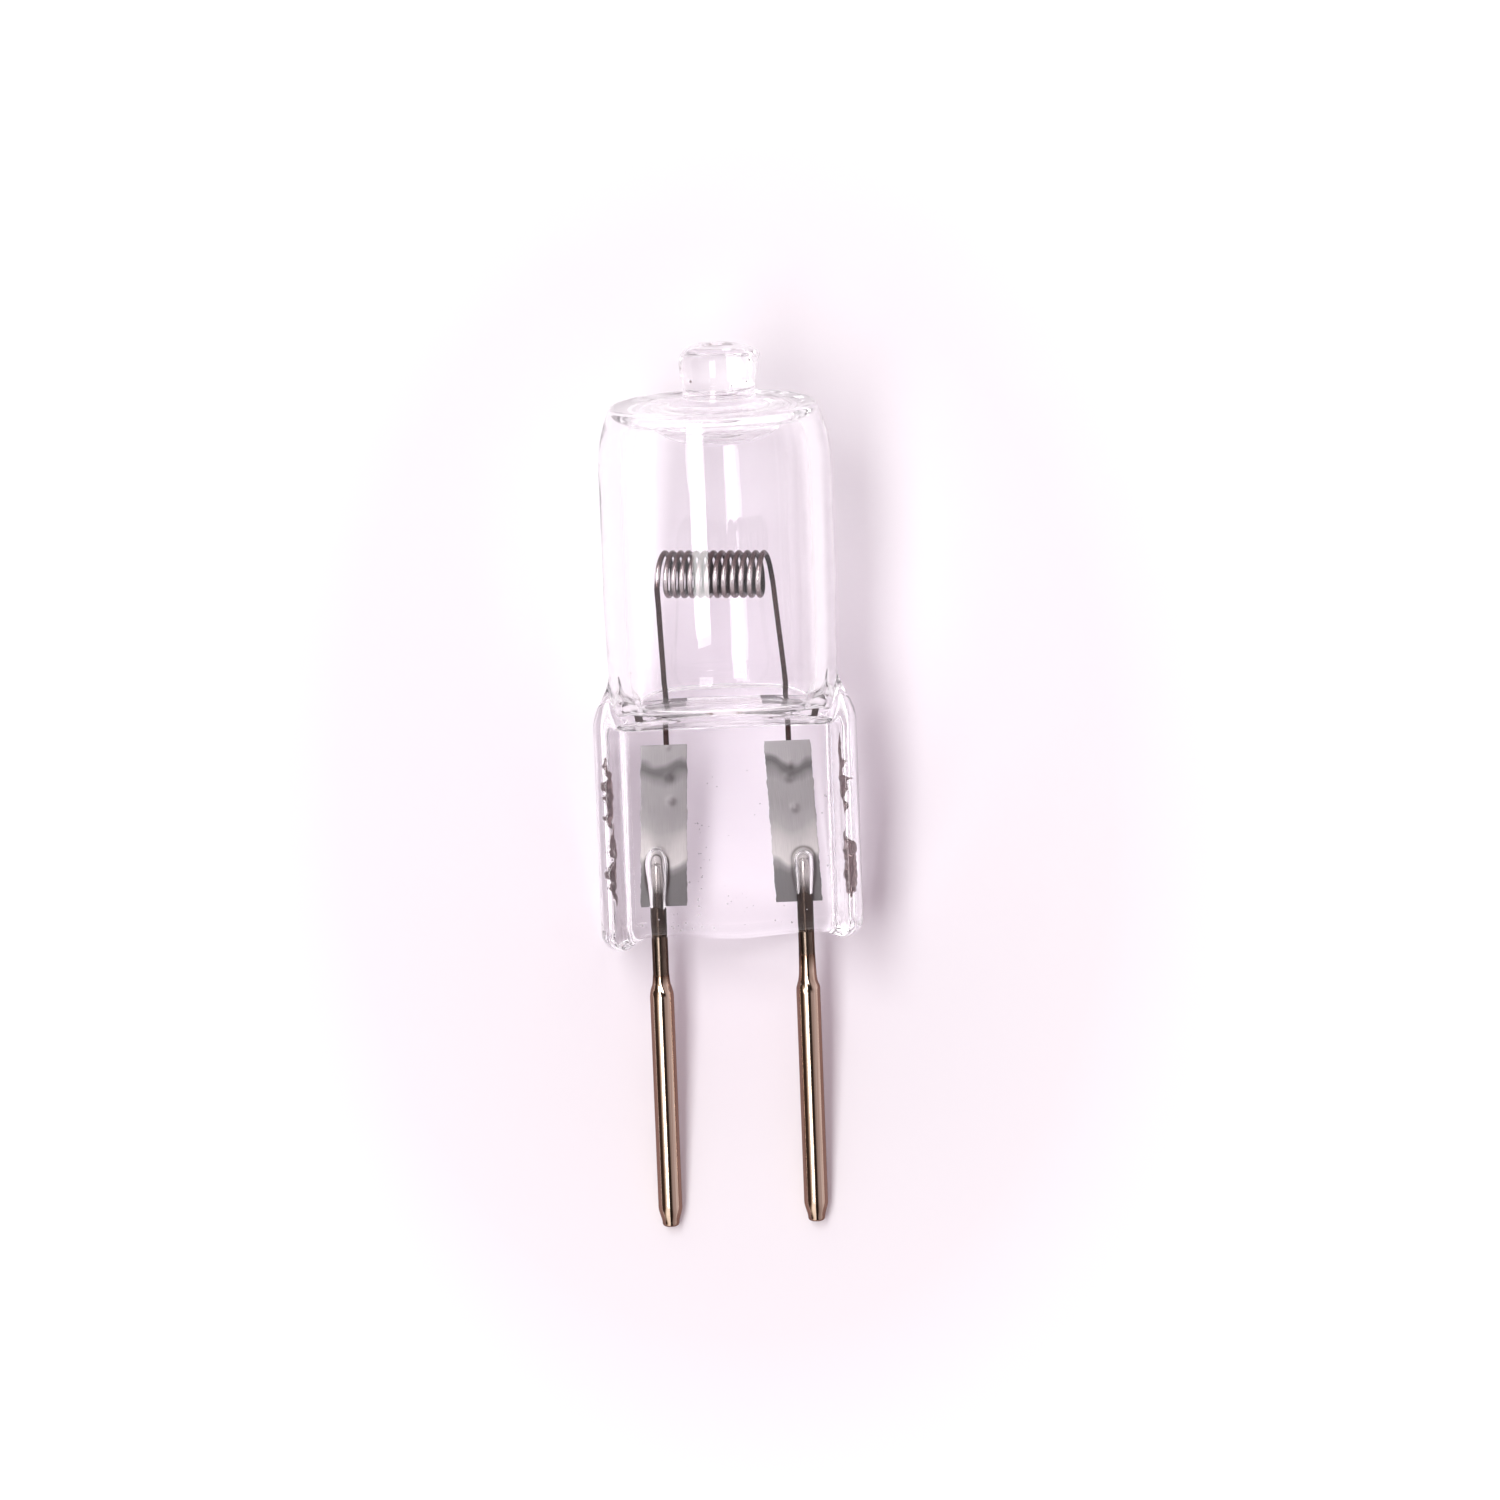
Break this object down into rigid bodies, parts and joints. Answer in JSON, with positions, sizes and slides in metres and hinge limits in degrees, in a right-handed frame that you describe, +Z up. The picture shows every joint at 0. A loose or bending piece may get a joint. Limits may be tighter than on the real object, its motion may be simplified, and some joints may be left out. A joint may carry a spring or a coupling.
{
  "type": "halogen capsule bulb",
  "caption": "Clear halogen capsule bulb lying on its side: quartz tube with a coiled filament, a flat pinch seal with foils, and a two-pin base.",
  "frame": {"origin": "centre of the bounding box's bottom face, on the surface the bulb lies on", "axes": "+Z up from that surface, +Y from the pin tips towards the exhaust tip, +X from the left pin to the right pin"},
  "size_m": [0.0114, 0.0382, 0.0116],
  "materials": {
    "quartz": "clear fused quartz, smooth, slightly rough on the pinch",
    "tungsten": "dark drawn tungsten wire",
    "foil": "satin molybdenum foil with lengthwise drawing marks",
    "lead": "dull grey-brown molybdenum wire",
    "pin": "bright pale bronze plating"
  },
  "bodies": {
    "root": {"quartz_envelope": "quartz", "filament": "tungsten", "foil_left": "foil", "foil_right": "foil", "lead_wire_left": "lead", "lead_wire_right": "lead", "contact_pin_left": "pin", "contact_pin_right": "pin"}
  },
  "joints": []
}
